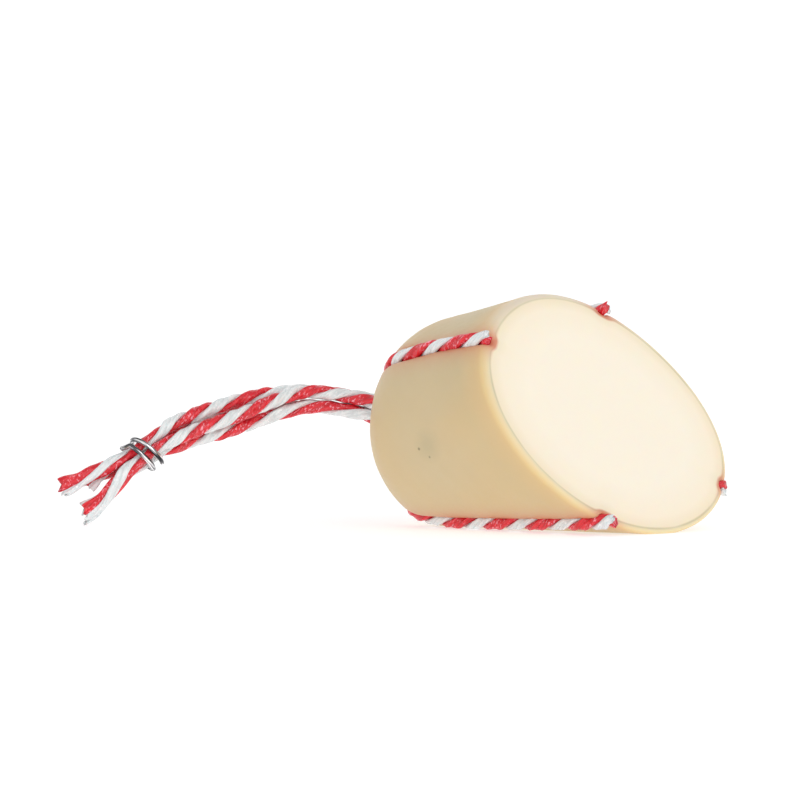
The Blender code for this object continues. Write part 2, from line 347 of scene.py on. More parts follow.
# %% Faces of a grid
def grid_faces(rows, columns):
    """Quads of a grid that closes round its columns: a point, its next, and both a row on."""
    start = np.arange(rows - 1)[:, None] * columns
    one = np.arange(columns)[None, :]
    two = (one + 1) % columns
    quads = [start + one, start + two, start + columns + two, start + columns + one]
    return np.stack(quads, axis=-1).reshape(-1, 4)


def fan_faces(ring_start, columns, centre, outward):
    """Triangles from a ring of the grid to one vertex."""
    one = np.arange(columns)
    two = (one + 1) % columns
    pair = (one, two) if outward else (two, one)
    middle = np.full(columns, centre)
    return np.stack([pair[0] + ring_start, pair[1] + ring_start, middle], axis=-1)


# %% Piece from arrays
def new_piece(name, vertices, quads, triangles, materials, slots=None, attributes=None, uv=None):
    """A smooth mesh object from arrays."""
    mesh = bpy.data.meshes.new(name)
    corners = np.concatenate([quads.ravel(), triangles.ravel()])
    sizes = np.concatenate([np.full(len(quads), 4), np.full(len(triangles), 3)])
    mesh.vertices.add(len(vertices))
    mesh.vertices.foreach_set("co", vertices.astype(np.float32).ravel())
    mesh.loops.add(len(corners))
    mesh.loops.foreach_set("vertex_index", corners.astype(np.int32))
    mesh.polygons.add(len(sizes))
    starts = np.concatenate([[0], np.cumsum(sizes)[:-1]]).astype(np.int32)
    mesh.polygons.foreach_set("loop_start", starts)
    mesh.polygons.foreach_set("loop_total", sizes.astype(np.int32))
    mesh.polygons.foreach_set("use_smooth", np.ones(len(sizes), bool))
    for finish in materials:
        mesh.materials.append(finish)
    if slots is not None:
        mesh.polygons.foreach_set("material_index", slots.astype(np.int32))
    for label, values in (attributes or {}).items():
        layer = mesh.attributes.new(label, "FLOAT", "POINT")
        layer.data.foreach_set("value", values.astype(np.float32))
    if uv is not None:
        layer = mesh.uv_layers.new(name="UVMap")
        layer.data.foreach_set("uv", uv[corners].astype(np.float32).ravel())
    mesh.update()
    mesh.validate()
    piece = bpy.data.objects.new(name, mesh)
    bpy.context.collection.objects.link(piece)
    print(name, len(vertices), "vertices,", len(quads) * 2 + len(triangles), "triangles")
    return piece


# %% [markdown]
# Every finish is a small tree of shader nodes: noise for irregularity, ramps for colour, mixes
# to lay one thing over another. These helpers add one node each and hand back its output, so a
# finish below reads as a recipe.

# %% Material helpers
def linear(red, green, blue):
    """Linear colour from 0 to 255 screen values."""
    values = np.array([red, green, blue]) / 255.0
    return (*np.where(values <= 0.04045, values / 12.92, ((values + 0.055) / 1.055) ** 2.4), 1.0)


def new_material(name):
    """A material with its nodes, links and shader."""
    print("material", name)
    made = bpy.data.materials.new(name)
    made.use_nodes = True
    nodes = made.node_tree.nodes
    return made, nodes, made.node_tree.links, nodes["Principled BSDF"]


def add_noise(nodes, links, source, scale, detail=3.0, roughness=0.5):
    """Cloudy noise over a position, scale in waves per unit."""
    noise = nodes.new("ShaderNodeTexNoise")
    noise.inputs["Scale"].default_value = scale
    noise.inputs["Detail"].default_value = detail
    noise.inputs["Roughness"].default_value = roughness
    links.new(source, noise.inputs["Vector"])
    return noise.outputs["Fac"]


def add_ramp(nodes, links, source, stops):
    """Colour ramp with the given (place, colour) stops."""
    ramp = nodes.new("ShaderNodeValToRGB")
    band = ramp.color_ramp
    while len(band.elements) < len(stops):
        band.elements.new(0.5)
    for element, (place, colour) in zip(band.elements, stops):
        element.position = place
        element.color = colour
    links.new(source, ramp.inputs["Fac"])
    return ramp.outputs["Color"]


# %% Ranges, mixes and bumps
def add_range(nodes, links, source, low, high, to_low=0.0, to_high=1.0):
    """A number moved from one range to another and held at its ends."""
    spread = nodes.new("ShaderNodeMapRange")
    spread.inputs["From Min"].default_value = low
    spread.inputs["From Max"].default_value = high
    spread.inputs["To Min"].default_value = to_low
    spread.inputs["To Max"].default_value = to_high
    links.new(source, spread.inputs["Value"])
    return spread.outputs["Result"]


def add_mix(nodes, links, share, one, other):
    """Mix of two colours; each of them is a socket or a colour, share a socket or a number."""
    mix = nodes.new("ShaderNodeMix")
    mix.data_type = "RGBA"
    for value, place in ((share, 0), (one, 6), (other, 7)):
        if isinstance(value, bpy.types.NodeSocket):
            links.new(value, mix.inputs[place])
        else:
            mix.inputs[place].default_value = value
    return mix.outputs[2]


def add_bump(nodes, links, height, strength, distance, normal=None):
    """Tilted normals where the height changes, laid over another bump if there is one."""
    bump = nodes.new("ShaderNodeBump")
    bump.inputs["Strength"].default_value = strength
    bump.inputs["Distance"].default_value = distance
    links.new(height, bump.inputs["Height"])
    if normal is not None:
        links.new(normal, bump.inputs["Normal"])
    return bump.outputs["Normal"]


def add_attribute(nodes, name):
    """A number that the mesh carries on its points."""
    reader = nodes.new("ShaderNodeAttribute")
    reader.attribute_name = name
    return reader.outputs["Fac"]


def add_stretched_noise(nodes, links, scale, detail, roughness):
    """Noise on the piece's own UV map, drawn out along it."""
    stretch = nodes.new("ShaderNodeMapping")
    stretch.inputs["Scale"].default_value = scale
    links.new(nodes.new("ShaderNodeUVMap").outputs["UV"], stretch.inputs["Vector"])
    return add_noise(nodes, links, stretch.outputs["Vector"], 1.0, detail, roughness)


# %% [markdown]
# Each ply of the twine is a strip of thin glossy plastic film, crushed and twisted up. It has
# lengthwise creases with painted shade in them, and small glints where a crease faces the light,
# painted into its colour as highlights. An image of twine would repeat and blur, so the creases
# and their painted shade are noise drawn out along the ply, and finer noise, let through in
# patches, paints the glints.

# %% Finish of the film
def film_material(name, base, shine, dark):
    """Film in three shades: painted shade in the creases, base between, and a painted highlight where
    it glints.
    """
    made, nodes, links, shader = new_material(name)
    streaks = add_stretched_noise(nodes, links, (0.16, 9.0, 1.0), 4.0, 0.6)
    glint_specks = add_stretched_noise(nodes, links, (0.9, 10.0, 1.0), 2.0, 0.5)
    patches = add_noise(nodes, links, nodes.new("ShaderNodeTexCoord").outputs["Object"], 170.0)
    colour = add_mix(nodes, links, add_range(nodes, links, streaks, 0.35, 0.62), dark, base)
    both = nodes.new("ShaderNodeMath")
    both.operation = "MULTIPLY"
    links.new(add_range(nodes, links, glint_specks, 0.54, 0.66), both.inputs[0])
    links.new(add_range(nodes, links, patches, 0.42, 0.56), both.inputs[1])
    colour = add_mix(nodes, links, both.outputs[0], colour, shine)
    links.new(colour, shader.inputs["Base Color"])
    shader.inputs["Roughness"].default_value = 0.24
    shader.inputs["Specular IOR Level"].default_value = 0.6
    shader.inputs["Subsurface Weight"].default_value = 0.15
    shader.inputs["Subsurface Radius"].default_value = (1.0, 0.6, 0.6)
    shader.inputs["Subsurface Scale"].default_value = 0.0008
    fine = add_bump(nodes, links, streaks, 0.55, 0.0006)
    links.new(add_bump(nodes, links, glint_specks, 0.35, 0.0004, fine), shader.inputs["Normal"])
    return made


# Each film: base colour, then a painted highlight for the glints, then painted shade for the creases.
red_film = film_material("red_film", linear(238, 34, 52), linear(255, 165, 180), linear(196, 12, 28))
white_film = film_material("white_film", linear(243, 246, 246), linear(255, 255, 255),
                           linear(212, 219, 221))

# %% [markdown]
# A piece of twine is two plies laid together to the left. Each ply is a soft flattened bar
# that is carried round the twine's middle line on a helix. Screw modifiers could do that for a
# straight twine, but on a curved line the frame has to be carried from point to point without
# spinning, which is done here by hand.

# %% Carried frame
def transported(points):
    """Forward directions and a pair of cross directions that never spin about the line."""
    forward = unit(np.gradient(points, axis=0))
    across = np.zeros_like(forward)
    start = np.cross((0.0, 0.0, 1.0), forward[0])
    across[0] = start / np.linalg.norm(start)
    for n in range(1, len(points)):
        moved = across[n - 1] - forward[n] * np.dot(across[n - 1], forward[n])
        across[n] = moved / np.linalg.norm(moved)
    return forward, across, np.cross(forward, across)


def wander(seed, *inputs):
    """Sum of five sine waves over the inputs with set random slopes, about -1 to 1."""
    chance = np.random.default_rng(seed)
    total = 0.0
    for _ in range(5):
        phase = chance.uniform(0, 2 * math.pi)
        waves = sum(chance.normal() * value for value in inputs)
        total = total + np.sin(waves + phase)
    return total / 2.2


def column(values, rows):
    """A number or a row of numbers as one value for each row of a grid."""
    return np.broadcast_to(np.asarray(values, float).reshape(-1, 1), (rows, 1))


# %% Section of a ply
PLY_POINTS = 36
PLY_SQUARENESS = 0.86      # below 1 the section is fuller than an ellipse
HALF_DEEP = 0.262          # sizes of a ply are shares of the twine's thickness
HALF_WIDE = 0.435
FAN_WIDE = 0.14            # how much a flattened end of a ply is wider
FAN_THIN = 0.325           # how much thinner it is
FAN_APART = 0.15           # and how far the plies have moved apart there
PLEAT = 0.075
TORN_FROM = 0.004


def ply_section(ply, seed, s, spread, more):
    """How far out and aside each point of a ply is: a superellipse with creases and pleats."""
    theta = np.arange(PLY_POINTS)[None, :] * 2 * math.pi / PLY_POINTS
    crease = 1.0 + 0.035 * wander(seed + ply, s * 0.5, 4 * np.cos(theta), 4 * np.sin(theta))
    crease += 0.022 * np.sin(9 * theta + 1.2 * np.sin(s * 0.35 + seed) + ply * 2.0)
    radial = np.sign(np.cos(theta)) * np.abs(np.cos(theta)) ** PLY_SQUARENESS
    tangent = np.sign(np.sin(theta)) * np.abs(np.sin(theta)) ** PLY_SQUARENESS
    deep = TWINE * (HALF_DEEP + FAN_WIDE * spread) * radial * more
    wide = TWINE * (HALF_WIDE - FAN_THIN * spread) * tangent * more
    pleat = TWINE * PLEAT * spread * np.sin(radial * 7.0 + ply * 2.0 + seed)
    centre = TWINE * (0.5 - HALF_DEEP * more + FAN_APART * spread)
    return centre + deep * crease, wide * crease + pleat, radial, tangent, theta


# %% Surface of a ply
def ply_surface(ply, points, turn, seed, squeeze, fan, ragged, red):
    """A ply's grid of points and its UV: the section on two axes that turn along the line."""
    forward, across, up = transported(points)
    distance = reached(points)
    rows = len(points)
    s = distance[:, None] * 1000.0
    more = 1.0 + column(red, rows) * (1 if ply == 0 else -1)
    out, aside, radial, tangent, theta = ply_section(ply, seed, s, column(fan, rows), more)
    thick = column(squeeze, rows)
    angle = (turn + ply * math.pi)[:, None]
    cosine, sine = np.cos(angle)[..., None], np.sin(angle)[..., None]
    across, up = across[:, None, :], up[:, None, :]
    e_out = across * cosine + up * sine
    e_aside = up * cosine - across * sine
    grid = points[:, None, :] + e_out * (out * thick)[..., None] + e_aside * (aside * thick)[..., None]
    tear = np.clip((distance - distance[-1] + TORN_FROM) / TORN_FROM, 0, 1)[:, None] ** 2
    slip = tear * ragged * wander(seed + 9 + ply, 3.1 * radial, 1.5 * tangent)
    grid = grid + forward[:, None, :] * slip[..., None]
    along_ply = np.broadcast_to(s * (1 + 0.5 * ply), grid.shape[:2])
    round_ply = np.broadcast_to(theta / (2 * math.pi), grid.shape[:2])
    uv = np.stack([along_ply, round_ply + seed * 7.1 + ply * 3.3], -1)
    end_dent = forward[-1] * 0.0003
    return grid, uv, end_dent


# %% Twine from its plies
LOWEST = 0.00005           # nothing may dip below the table


def make_twine(name, points, turn, seed, squeeze=1.0, fan=0.0, ragged=0.0005, red=0.0):
    """Two plies half a turn apart in one mesh, red first; turn is where the red one lies."""
    vertices, uv, quads, triangles = [], [], [], []
    offset = 0
    rows = len(points)
    for ply in range(2):
        grid, place, end_dent = ply_surface(ply, points, turn, seed, squeeze, fan, ragged, red)
        tip, root = grid[-1].mean(axis=0) - end_dent, grid[0].mean(axis=0)
        vertices += [grid.reshape(-1, 3), tip[None], root[None]]
        uv += [place.reshape(-1, 2), place[-1, -1:], place[0, :1]]
        count = rows * PLY_POINTS
        quads.append(grid_faces(rows, PLY_POINTS) + offset)
        last = offset + count - PLY_POINTS
        triangles.append(fan_faces(last, PLY_POINTS, offset + count, True))
        triangles.append(fan_faces(offset, PLY_POINTS, offset + count + 1, False))
        offset += count + 2
    slots = np.concatenate([np.repeat([0, 1], len(quads[0])),
                            np.repeat([0, 1], len(triangles[0]) * 2)])
    vertices = np.vstack(vertices)
    vertices[:, 2] = np.maximum(vertices[:, 2], LOWEST)
    return new_piece(name, vertices, np.vstack(quads), np.vstack(triangles),
                     [red_film, white_film], slots, uv=np.vstack(uv))


print("a ply is", round(2 * HALF_WIDE * TWINE * 1000, 2), "mm wide")

# %% [markdown]
# A string starts in the bundle behind the tip, bends over the shoulder and lies in its channel
# to the cut. The bend is a Bezier curve that starts along the twine and ends along the channel,
# so that no kink shows.

# %% Line of a string
ABOVE_BED = 0.00005        # a hair over the gap, so that string and channel stay apart


def string_line(angle, overhang, tail):
    """Middle line of a string from the cut, up its channel, over the shoulder to the seam."""
    point, facing = cut_plane()
    length = np.concatenate([CAP_LENGTH * (np.arange(1, 61) / 60.0) ** 2,
                             CAP_LENGTH + np.arange(1, 120) * 0.02])
    around = np.full(length.shape, angle)
    out, _ = aside_of_strings(length, around)
    lift = TWINE / 2 + GAP + ABOVE_BED - channel_depth(length, around)
    on_rind = rind_points(length, around) + rind_normals(length, around) * lift[:, None]
    beyond = (on_rind - point) @ facing
    on_rind = on_rind[(out >= LIFT_OFF) & (beyond <= overhang)]
    start = bundle_points(np.array([SEAM]), tail)[0]
    forward = unit(bundle_points(np.array([SEAM + 4.0]), tail)[0] - start)
    landing = on_rind[0]
    away = unit(on_rind[0] - on_rind[1])
    reach = np.linalg.norm(landing - start) * 0.42
    t = (np.arange(7) / 7.0)[:, None]
    one, two = start - forward * reach, landing + away * reach
    bend = (start * (1 - t) ** 3 + one * 3 * t * (1 - t) ** 2
            + two * 3 * t * t * (1 - t) + landing * t ** 3)
    return smooth_line(np.vstack([bend, on_rind]), 240)


upper = string_line(*STRINGS["string_front_top"])
print("upper string is", round(reached(upper)[-1] * 1000, 1), "mm long")

# %% [markdown]
# How far the plies run in one turn is the lay. It is short in the tight strings, longer in the
# slack tail, and longest at the ends, where the twine has come undone. Where the red ply lies
# is set at the cut ends, at the clip and at the flat free ends, and between them the lay decides.

# %% Lay of the plies
STRING_LAY = {"string_front_top": 0.0195, "string_front_bottom": 0.0185,
              "string_back_top": 0.0180, "string_back_bottom": 0.0180}
STRING_RED = 0.10          # in the strings the red ply shows this much wider than half
# Where the red ply is at a string's cut end: radians from the side that looks at the viewer.
END_TURN = {"string_front_top": 1.8, "string_front_bottom": 2.6,
            "string_back_top": -0.5, "string_back_bottom": -2.2}
# By millimetres along the tail: how far the plies run in one turn.
TAIL_LAY = [(0, 30.0), (30, 28.0), (60, 25.0), (90, 22.0), (112, 26.0), (126, 60.0)]
# A twine's plies run longer or shorter than that on the half of the tail next to the cheese.
LAY_NEAR_CHEESE = {"twine_1": 0.82, "twine_2": 1.36, "twine_3": 1.0, "twine_4": 1.1}
# Where the red ply lies at one place close to the clip, in radians.
TURN_AT = 98.0
TAIL_TURN_AT = {"twine_1": 2.69, "twine_2": 4.09, "twine_3": 3.29, "twine_4": 4.69}
# Where the red ply lies at the flat end: degrees from above, turned towards the viewer.
RED_AT_END = {"twine_1": 30.0, "twine_2": 180.0, "twine_3": 24.0, "twine_4": 320.0}
# And how much wider than half it has spread there.
RED_SPREADS = {"twine_1": 0.05, "twine_2": -0.2, "twine_3": 0.34, "twine_4": 0.0}
FAN_LENGTH = 11.0
# Where the near half ends, where the ends begin to lie flat, and how long a string settles.
NEAR_UNTIL, NEAR_FADE = 50.0, 18.0
FLAT_FROM = 104.0
SPREADS_FROM, SPREADS_OVER = 110.0, 14.0
SETTLES_OVER = 0.018
VIEWED_FROM = np.array([math.sin(CAMERA_TURN), -math.cos(CAMERA_TURN), 0.0])
print("lay at the clip", along(TAIL_LAY, CLIP_AT).round(1), "mm")

# %% Turn of the plies
def smooth_step(value):
    """Rises from 0 to 1 with level ends."""
    share = np.clip(value, 0.0, 1.0)
    return share * share * (3 - 2 * share)


def turn_towards(points, index, wanted):
    """Angle of a wanted direction in the frame that is carried along the points."""
    _, across, up = transported(points)
    return math.atan2(np.dot(wanted, up[index]), np.dot(wanted, across[index]))


def tail_turn(name, places, points):
    """Turn of the red ply along a free twine: left-handed, ending flat to the viewer."""
    step = np.gradient(places)
    near = 1 - smooth_step((places - NEAR_UNTIL) / NEAR_FADE)
    lay = along(TAIL_LAY, places) * (1 + (LAY_NEAR_CHEESE[name] - 1) * near)
    turn = -2 * math.pi * np.cumsum(step / lay)
    turn += TAIL_TURN_AT[name] - np.interp(TURN_AT, places, turn)
    forward = unit(points[-1] - points[-6])
    above = np.cross(forward, VIEWED_FROM)
    above = above * np.sign(above[2])
    lean = math.radians(RED_AT_END[name])
    wanted = turn_towards(points, -1, above * math.cos(lean) + VIEWED_FROM * math.sin(lean))
    spare = wrapped(wanted - turn[-1])
    return turn + spare * smooth_step((places - FLAT_FROM) / (places[-1] - FLAT_FROM))


def string_turn(name, points, at_seam):
    """Turn of the red ply along a string: left-handed, meeting its tail twine at the seam."""
    distance = reached(points)
    wanted = turn_towards(points, -1, VIEWED_FROM) + END_TURN[name]
    turn = wanted + 2 * math.pi * (distance[-1] - distance) / STRING_LAY[name]
    spare = wrapped(at_seam - turn[0])
    return turn + spare * (1 - smooth_step(distance / SETTLES_OVER))


# %% The four free twines
twine_pieces, cord_lines, seam_turn = {}, {}, {}
for number, (name, (stop, _, _)) in enumerate(TAIL_ENDS.items()):
    places = np.linspace(SEAM + 0.5, stop, 301)
    points = bundle_points(places, name)
    turn = tail_turn(name, places, points)
    fan = smooth_step((places - stop + FAN_LENGTH) / FAN_LENGTH)
    red = RED_SPREADS[name] * smooth_step((places - SPREADS_FROM) / SPREADS_OVER)
    twine_pieces[name] = make_twine("free_" + name, points, turn, 31 + number,
                                    along(TAIL_SQUEEZE, places), fan, 0.0011, red)
    cord_lines[name] = points[::10]
    seam_turn[name] = math.pi - turn[0]

# %% The four strings
for number, (name, (angle, overhang, tail)) in enumerate(STRINGS.items()):
    points = string_line(angle, overhang, tail)
    turn = string_turn(name, points, seam_turn[tail])
    left = reached(points)[-1] - reached(points)
    fan = 0.30 * np.clip(1 - left / 0.003, 0, 1)
    twine_pieces[name] = make_twine("twine_in_" + name, points, turn, 11 + number, fan=fan,
                                    red=STRING_RED)

# %% [markdown]
# The clip is bright drawn wire, bent round the four twines. In even white light a plain polished
# metal would look flat, so dark and bright streaks of painted reflection are put in its colour
# along the wire, over its UV map.

# %% Finish of the wire
# Painted reflections: near black to white streaks in the wire's colour stand in for dark and bright
# surroundings mirrored in the steel.
PAINTED_REFLECTION_STREAKS = [(0.38, (0.03, 0.032, 0.036, 1.0)), (0.47, (0.16, 0.16, 0.17, 1.0)),
         (0.53, (0.50, 0.50, 0.52, 1.0)), (0.58, (1.0, 1.0, 1.0, 1.0))]


def steel_material():
    """Drawn steel with painted reflections: bright and dark streaks run along the wire in its colour.
    """
    made, nodes, links, shader = new_material("bright_wire")
    cloud = add_noise(nodes, links, nodes.new("ShaderNodeTexCoord").outputs["Object"], 420.0, 3.0)
    lines = add_stretched_noise(nodes, links, (0.10, 5.0, 1.0), 3.0, 0.6)
    colour = add_ramp(nodes, links, lines, PAINTED_REFLECTION_STREAKS)
    links.new(colour, shader.inputs["Base Color"])
    shader.inputs["Metallic"].default_value = 1.0
    links.new(add_range(nodes, links, cloud, 0.3, 0.7, 0.14, 0.30), shader.inputs["Roughness"])
    return made


# %% Clip
CLIP_POINTS = 260
WIRE_SIDES = 20


def clip_line():
    """Middle line of the wire: a standing end, then a turn and a half on a skewed helix."""
    centre, forward, side, up = (part[0] for part in tail_frames(np.array([CLIP_AT])))
    share = np.linspace(0.0, 1.0, 41)
    turn = (CLIP_START + (CLIP_END - CLIP_START) * share)[:, None]
    advance = CLIP_PITCH * (0.62 - share[:, None] * 1.37) + CLIP_SKEW * np.sin(turn)
    out = CLIP_RADIUS * (1.0 + 0.10 * (1.0 - np.minimum(np.arange(41), 4) / 4.0))[:, None]
    ring = centre + forward * advance + side * out * np.cos(turn) + up * out * np.sin(turn)
    ahead, aside, above = CLIP_STAND
    stand = centre + forward * ahead + side * aside + up * above
    return smooth_line(np.vstack([stand, ring]), CLIP_POINTS)


def make_clip():
    """Circles carried along the line, a little smaller at the two cut ends."""
    points = clip_line()
    _, across, up = transported(points)
    around = np.arange(WIRE_SIDES) * 2 * math.pi / WIRE_SIDES
    from_end = np.minimum(np.arange(CLIP_POINTS), CLIP_POINTS - 1 - np.arange(CLIP_POINTS))
    size = WIRE / 2 * (1.0 - 0.25 * np.clip(1 - from_end / 2.0, 0, 1))
    circle = (across[:, None, :] * np.cos(around)[None, :, None]
              + up[:, None, :] * np.sin(around)[None, :, None])
    grid = points[:, None, :] + size[:, None, None] * circle
    vertices = np.vstack([grid.reshape(-1, 3), points[-1:], points[:1]])
    count = CLIP_POINTS * WIRE_SIDES
    triangles = np.vstack([fan_faces(count - WIRE_SIDES, WIRE_SIDES, count, True),
                           fan_faces(0, WIRE_SIDES, count + 1, False)])
    along_wire = reached(points)[:, None] * 1000.0 + np.zeros(WIRE_SIDES)
    round_wire = around / (2 * math.pi) + np.zeros((CLIP_POINTS, 1))
    uv = np.stack([along_wire, round_wire], -1).reshape(-1, 2)
    uv = np.vstack([uv, uv[-1:], uv[:1]])
    return new_piece("wire_clip", vertices, grid_faces(CLIP_POINTS, WIRE_SIDES), triangles,
                     [steel_material()], uv=uv)


clip = make_clip()

# %% [markdown]
# The cheese is one closed skin: rows along the rind from the tip, a rounded edge where the knife
# came through, and rings on the flat cut face. Cutting a whole cheese with a Boolean would leave
# long thin faces at that edge, so each line of the rind is stopped at the knife's plane instead.

# %% Columns of the cheese
COLUMNS = 520


def mesh_angles():
    """Angles of the columns, closer together beside the strings."""
    even = np.linspace(-math.pi, math.pi, 4001)
    density = np.ones(even.shape)
    for string_angle, _, _ in STRINGS.values():
        turn = wrapped(even - string_angle)
        density += 3.5 * np.exp(-(turn / 0.14) ** 2)
    total = np.concatenate([[0.0], np.cumsum((density[1:] + density[:-1]) / 2)])
    return np.interp(np.arange(COLUMNS) / COLUMNS, total / total[-1], even)


gaps = np.degrees(np.diff(mesh_angles()))
print("columns are", gaps.min().round(2), "to", gaps.max().round(2), "degrees apart")

# %% Rows along the rind
CAP_ROWS = 64
BODY_ROWS = 64
RIM = 0.0024               # half the width of the rounded edge


def rind_rows(angle):
    """Length from the tip of every point: squared shares in the cap, then even to the edge."""
    stop = length_to_cut(angle, RIM, pressed_points)
    cap = CAP_LENGTH * (np.arange(1, CAP_ROWS + 1) / CAP_ROWS) ** 2
    share = (np.arange(1, BODY_ROWS + 1) / BODY_ROWS)[:, None]
    body = CAP_LENGTH + (stop - CAP_LENGTH) * share
    return np.vstack([np.broadcast_to(cap[:, None], (CAP_ROWS, COLUMNS)), body])


def unevenness(points):
    """Soft hollows and swellings of the rind, in metres: two sizes of wave added up."""
    x, y, z = (points[..., k] * 1000.0 for k in range(3))
    broad = 0.00016 * wander(5, x / 9.0, y / 9.0, z / 9.0)
    return broad + 0.00004 * wander(6, x / 2.2, y / 2.2, z / 2.2)


print("rind of", (CAP_ROWS + BODY_ROWS) * COLUMNS, "points")

# %% Rounded edge and cut face
RIM_ROWS = 10
FACE_ROWS = 40
NOTCH = 0.0012             # how much further in the face starts at a string
NOTCH_WIDTH = 0.0036


def rim_and_face(angle, last_row):
    """A Bezier curve over the corner, then straight lines to the middle of the face."""
    _, facing = cut_plane()
    at_cut = length_to_cut(angle, 0.0, pressed_points)
    corner = pressed_points(at_cut, angle)
    outline = rind_points(length_to_cut(angle, 0.0, rind_points), angle)
    run = np.roll(outline, -1, axis=0) - np.roll(outline, 1, axis=0)
    inward = unit(np.cross(run, facing))
    _, aside = aside_of_strings(at_cut, angle)
    at_string = np.exp(-(aside / NOTCH_WIDTH) ** 4)
    face_edge = outline + inward * (RIM + NOTCH * at_string)[:, None]
    t = (np.arange(1, RIM_ROWS + 1) / RIM_ROWS)[:, None, None]
    rim = last_row * (1 - t) ** 2 + corner * 2 * t * (1 - t) + face_edge * t * t
    middle = face_edge.mean(axis=0)
    w = (np.arange(1, FACE_ROWS + 1) / (FACE_ROWS + 1))[:, None, None]
    return rim, face_edge, face_edge * (1 - w) + middle * w, middle


print("edge is", 2000 * RIM, "mm wide in", RIM_ROWS, "rows")

# %% [markdown]
# The colour changes over a few millimetres at the cut's edge and beside the strings. Painting
# that would need a UV map of the whole cheese. It is simpler to store two numbers on every
# point, distance from the edge and nearness to a string, for the nodes to read.

# %% Numbers for the finish
def from_rim_values(length, face, face_edge):
    """Millimetres from the middle of the edge: rind below zero and cut face above."""
    rim_width = RIM * 1000.0
    to_rim = -(length[-1] - length) * RADIUS * 1000.0 - rim_width
    on_rim = np.linspace(-rim_width, rim_width, RIM_ROWS + 1)[1:, None] + np.zeros(COLUMNS)
    on_face = rim_width + np.linalg.norm(face - face_edge, axis=-1) * 1000.0
    return np.concatenate([np.vstack([to_rim, on_rim, on_face]).ravel(), [-80.0, 40.0]])


def beside_string_values(length, around):
    """Nearness to a string, 1 under it: a narrow bell and a wide one; none on the face."""
    _, aside = aside_of_strings(length, around)
    near = 0.6 * np.exp(-(aside / 0.0040) ** 2) + 0.4 * np.exp(-(aside / 0.0085) ** 2)
    near = np.vstack([near, np.repeat(near[-1:], RIM_ROWS, 0), np.zeros((FACE_ROWS, COLUMNS))])
    return np.concatenate([near.ravel(), [1.0, 0.0]])


print("whole grid of", (CAP_ROWS + BODY_ROWS + RIM_ROWS + FACE_ROWS) * COLUMNS, "points")

# %% Cheese mesh
def make_cheese(finish):
    """Rind, edge and face in one grid, closed by a fan at the tip and one in the face."""
    angle = mesh_angles()
    length = rind_rows(angle)
    around = np.broadcast_to(angle, length.shape)
    rind = pressed_points(length, around)
    rind += rind_normals(length, around) * unevenness(rind)[..., None]
    rim, face_edge, face, middle = rim_and_face(angle, rind[-1])
    grid = np.vstack([rind, rim, face])
    rows = len(grid)
    tip = pressed_points(np.array([0.0]), np.array([0.0]))
    vertices = np.vstack([grid.reshape(-1, 3), tip, middle[None]])
    vertices[:, 2] = np.maximum(vertices[:, 2], LOWEST)
    count = rows * COLUMNS
    triangles = np.vstack([fan_faces(0, COLUMNS, count, True),
                           fan_faces((rows - 1) * COLUMNS, COLUMNS, count + 1, False)])
    quads = grid_faces(rows, COLUMNS)[:, ::-1]
    numbers = {"from_rim": from_rim_values(length, face, face_edge),
               "beside_string": beside_string_values(length, around)}
    return new_piece("provolone", vertices, quads, triangles, [finish], attributes=numbers)

# %% [markdown]
# The rind is a thin straw-coloured skin with faint browner clouds, and a greyer white high on
# the cut's edge. Painted light is laid over it too: a warmer glow near the cut, where light comes
# through the thin rind, and red bounce light from the twine beside the strings. The paste is a
# pale cream that lets light in a little way. An image texture would need a UV map and would blur
# close up, so the colours are laid over each other as ramps and noises in the cheese's own space.

# %% Colours across the cut's edge
BLACK = (0, 0, 0, 1)
WHITE = (1, 1, 1, 1)
# Colours by millimetres from the cut's edge: rind below zero, paste above. The warmer, more
# orange stops at -5 and -2.6 mm are a painted glow, light coming through the thin rind by the cut.
EDGE_COLOURS_AND_GLOW = [(-24.0, (211, 191, 152)), (-12.0, (208, 189, 149)), (-5.0, (219, 191, 144)),
               (-2.6, (226, 196, 143)), (-1.4, (234, 208, 153)), (0.8, (235, 216, 173)),
               (1.9, (229, 215, 180)), (2.3, (214, 204, 172)), (2.8, (241, 227, 199)),
               (7.0, (250, 236, 213)), (18.0, (253, 240, 221))]


def edge_colours(nodes, links, place, from_rim):
    """A ramp over the distance from the edge, with a painted glow on the rind near the cut, and a worn
    line where rind meets paste.
    """
    first, last = EDGE_COLOURS_AND_GLOW[0][0], EDGE_COLOURS_AND_GLOW[-1][0]
    ramp = [((at - first) / (last - first), linear(*shade)) for at, shade in EDGE_COLOURS_AND_GLOW]
    colour = add_ramp(nodes, links, add_range(nodes, links, from_rim, first, last), ramp)
    near = add_ramp(nodes, links, add_range(nodes, links, from_rim, 1.8, 3.0),
                    [(0.0, BLACK), (0.45, WHITE), (1.0, BLACK)])
    worn = add_noise(nodes, links, place, 55.0, 2.0)
    line = add_mix(nodes, links, add_range(nodes, links, worn, 0.42, 0.62), BLACK, near)
    return add_mix(nodes, links, line, colour, linear(208, 196, 160))


print(len(EDGE_COLOURS_AND_GLOW), "shades across the edge")

# %% Clouds and the paler high edge
def clouded(nodes, links, place, from_rim, colour):
    """Browner clouds and warmer fields mixed in on the rind; the paste stays clear."""
    on_rind = add_range(nodes, links, from_rim, 2.0, -3.0)
    clouds = add_range(nodes, links, add_noise(nodes, links, place, 38.0, 4.0, 0.55),
                       0.35, 0.68, 0.0, 0.16)
    cloudy = add_mix(nodes, links, clouds, colour, linear(192, 164, 118))
    warm = add_range(nodes, links, add_noise(nodes, links, place, 21.0, 1.0),
                     0.42, 0.62, 0.0, 0.40)
    cloudy = add_mix(nodes, links, warm, cloudy, linear(220, 190, 138))
    return add_mix(nodes, links, on_rind, colour, cloudy)


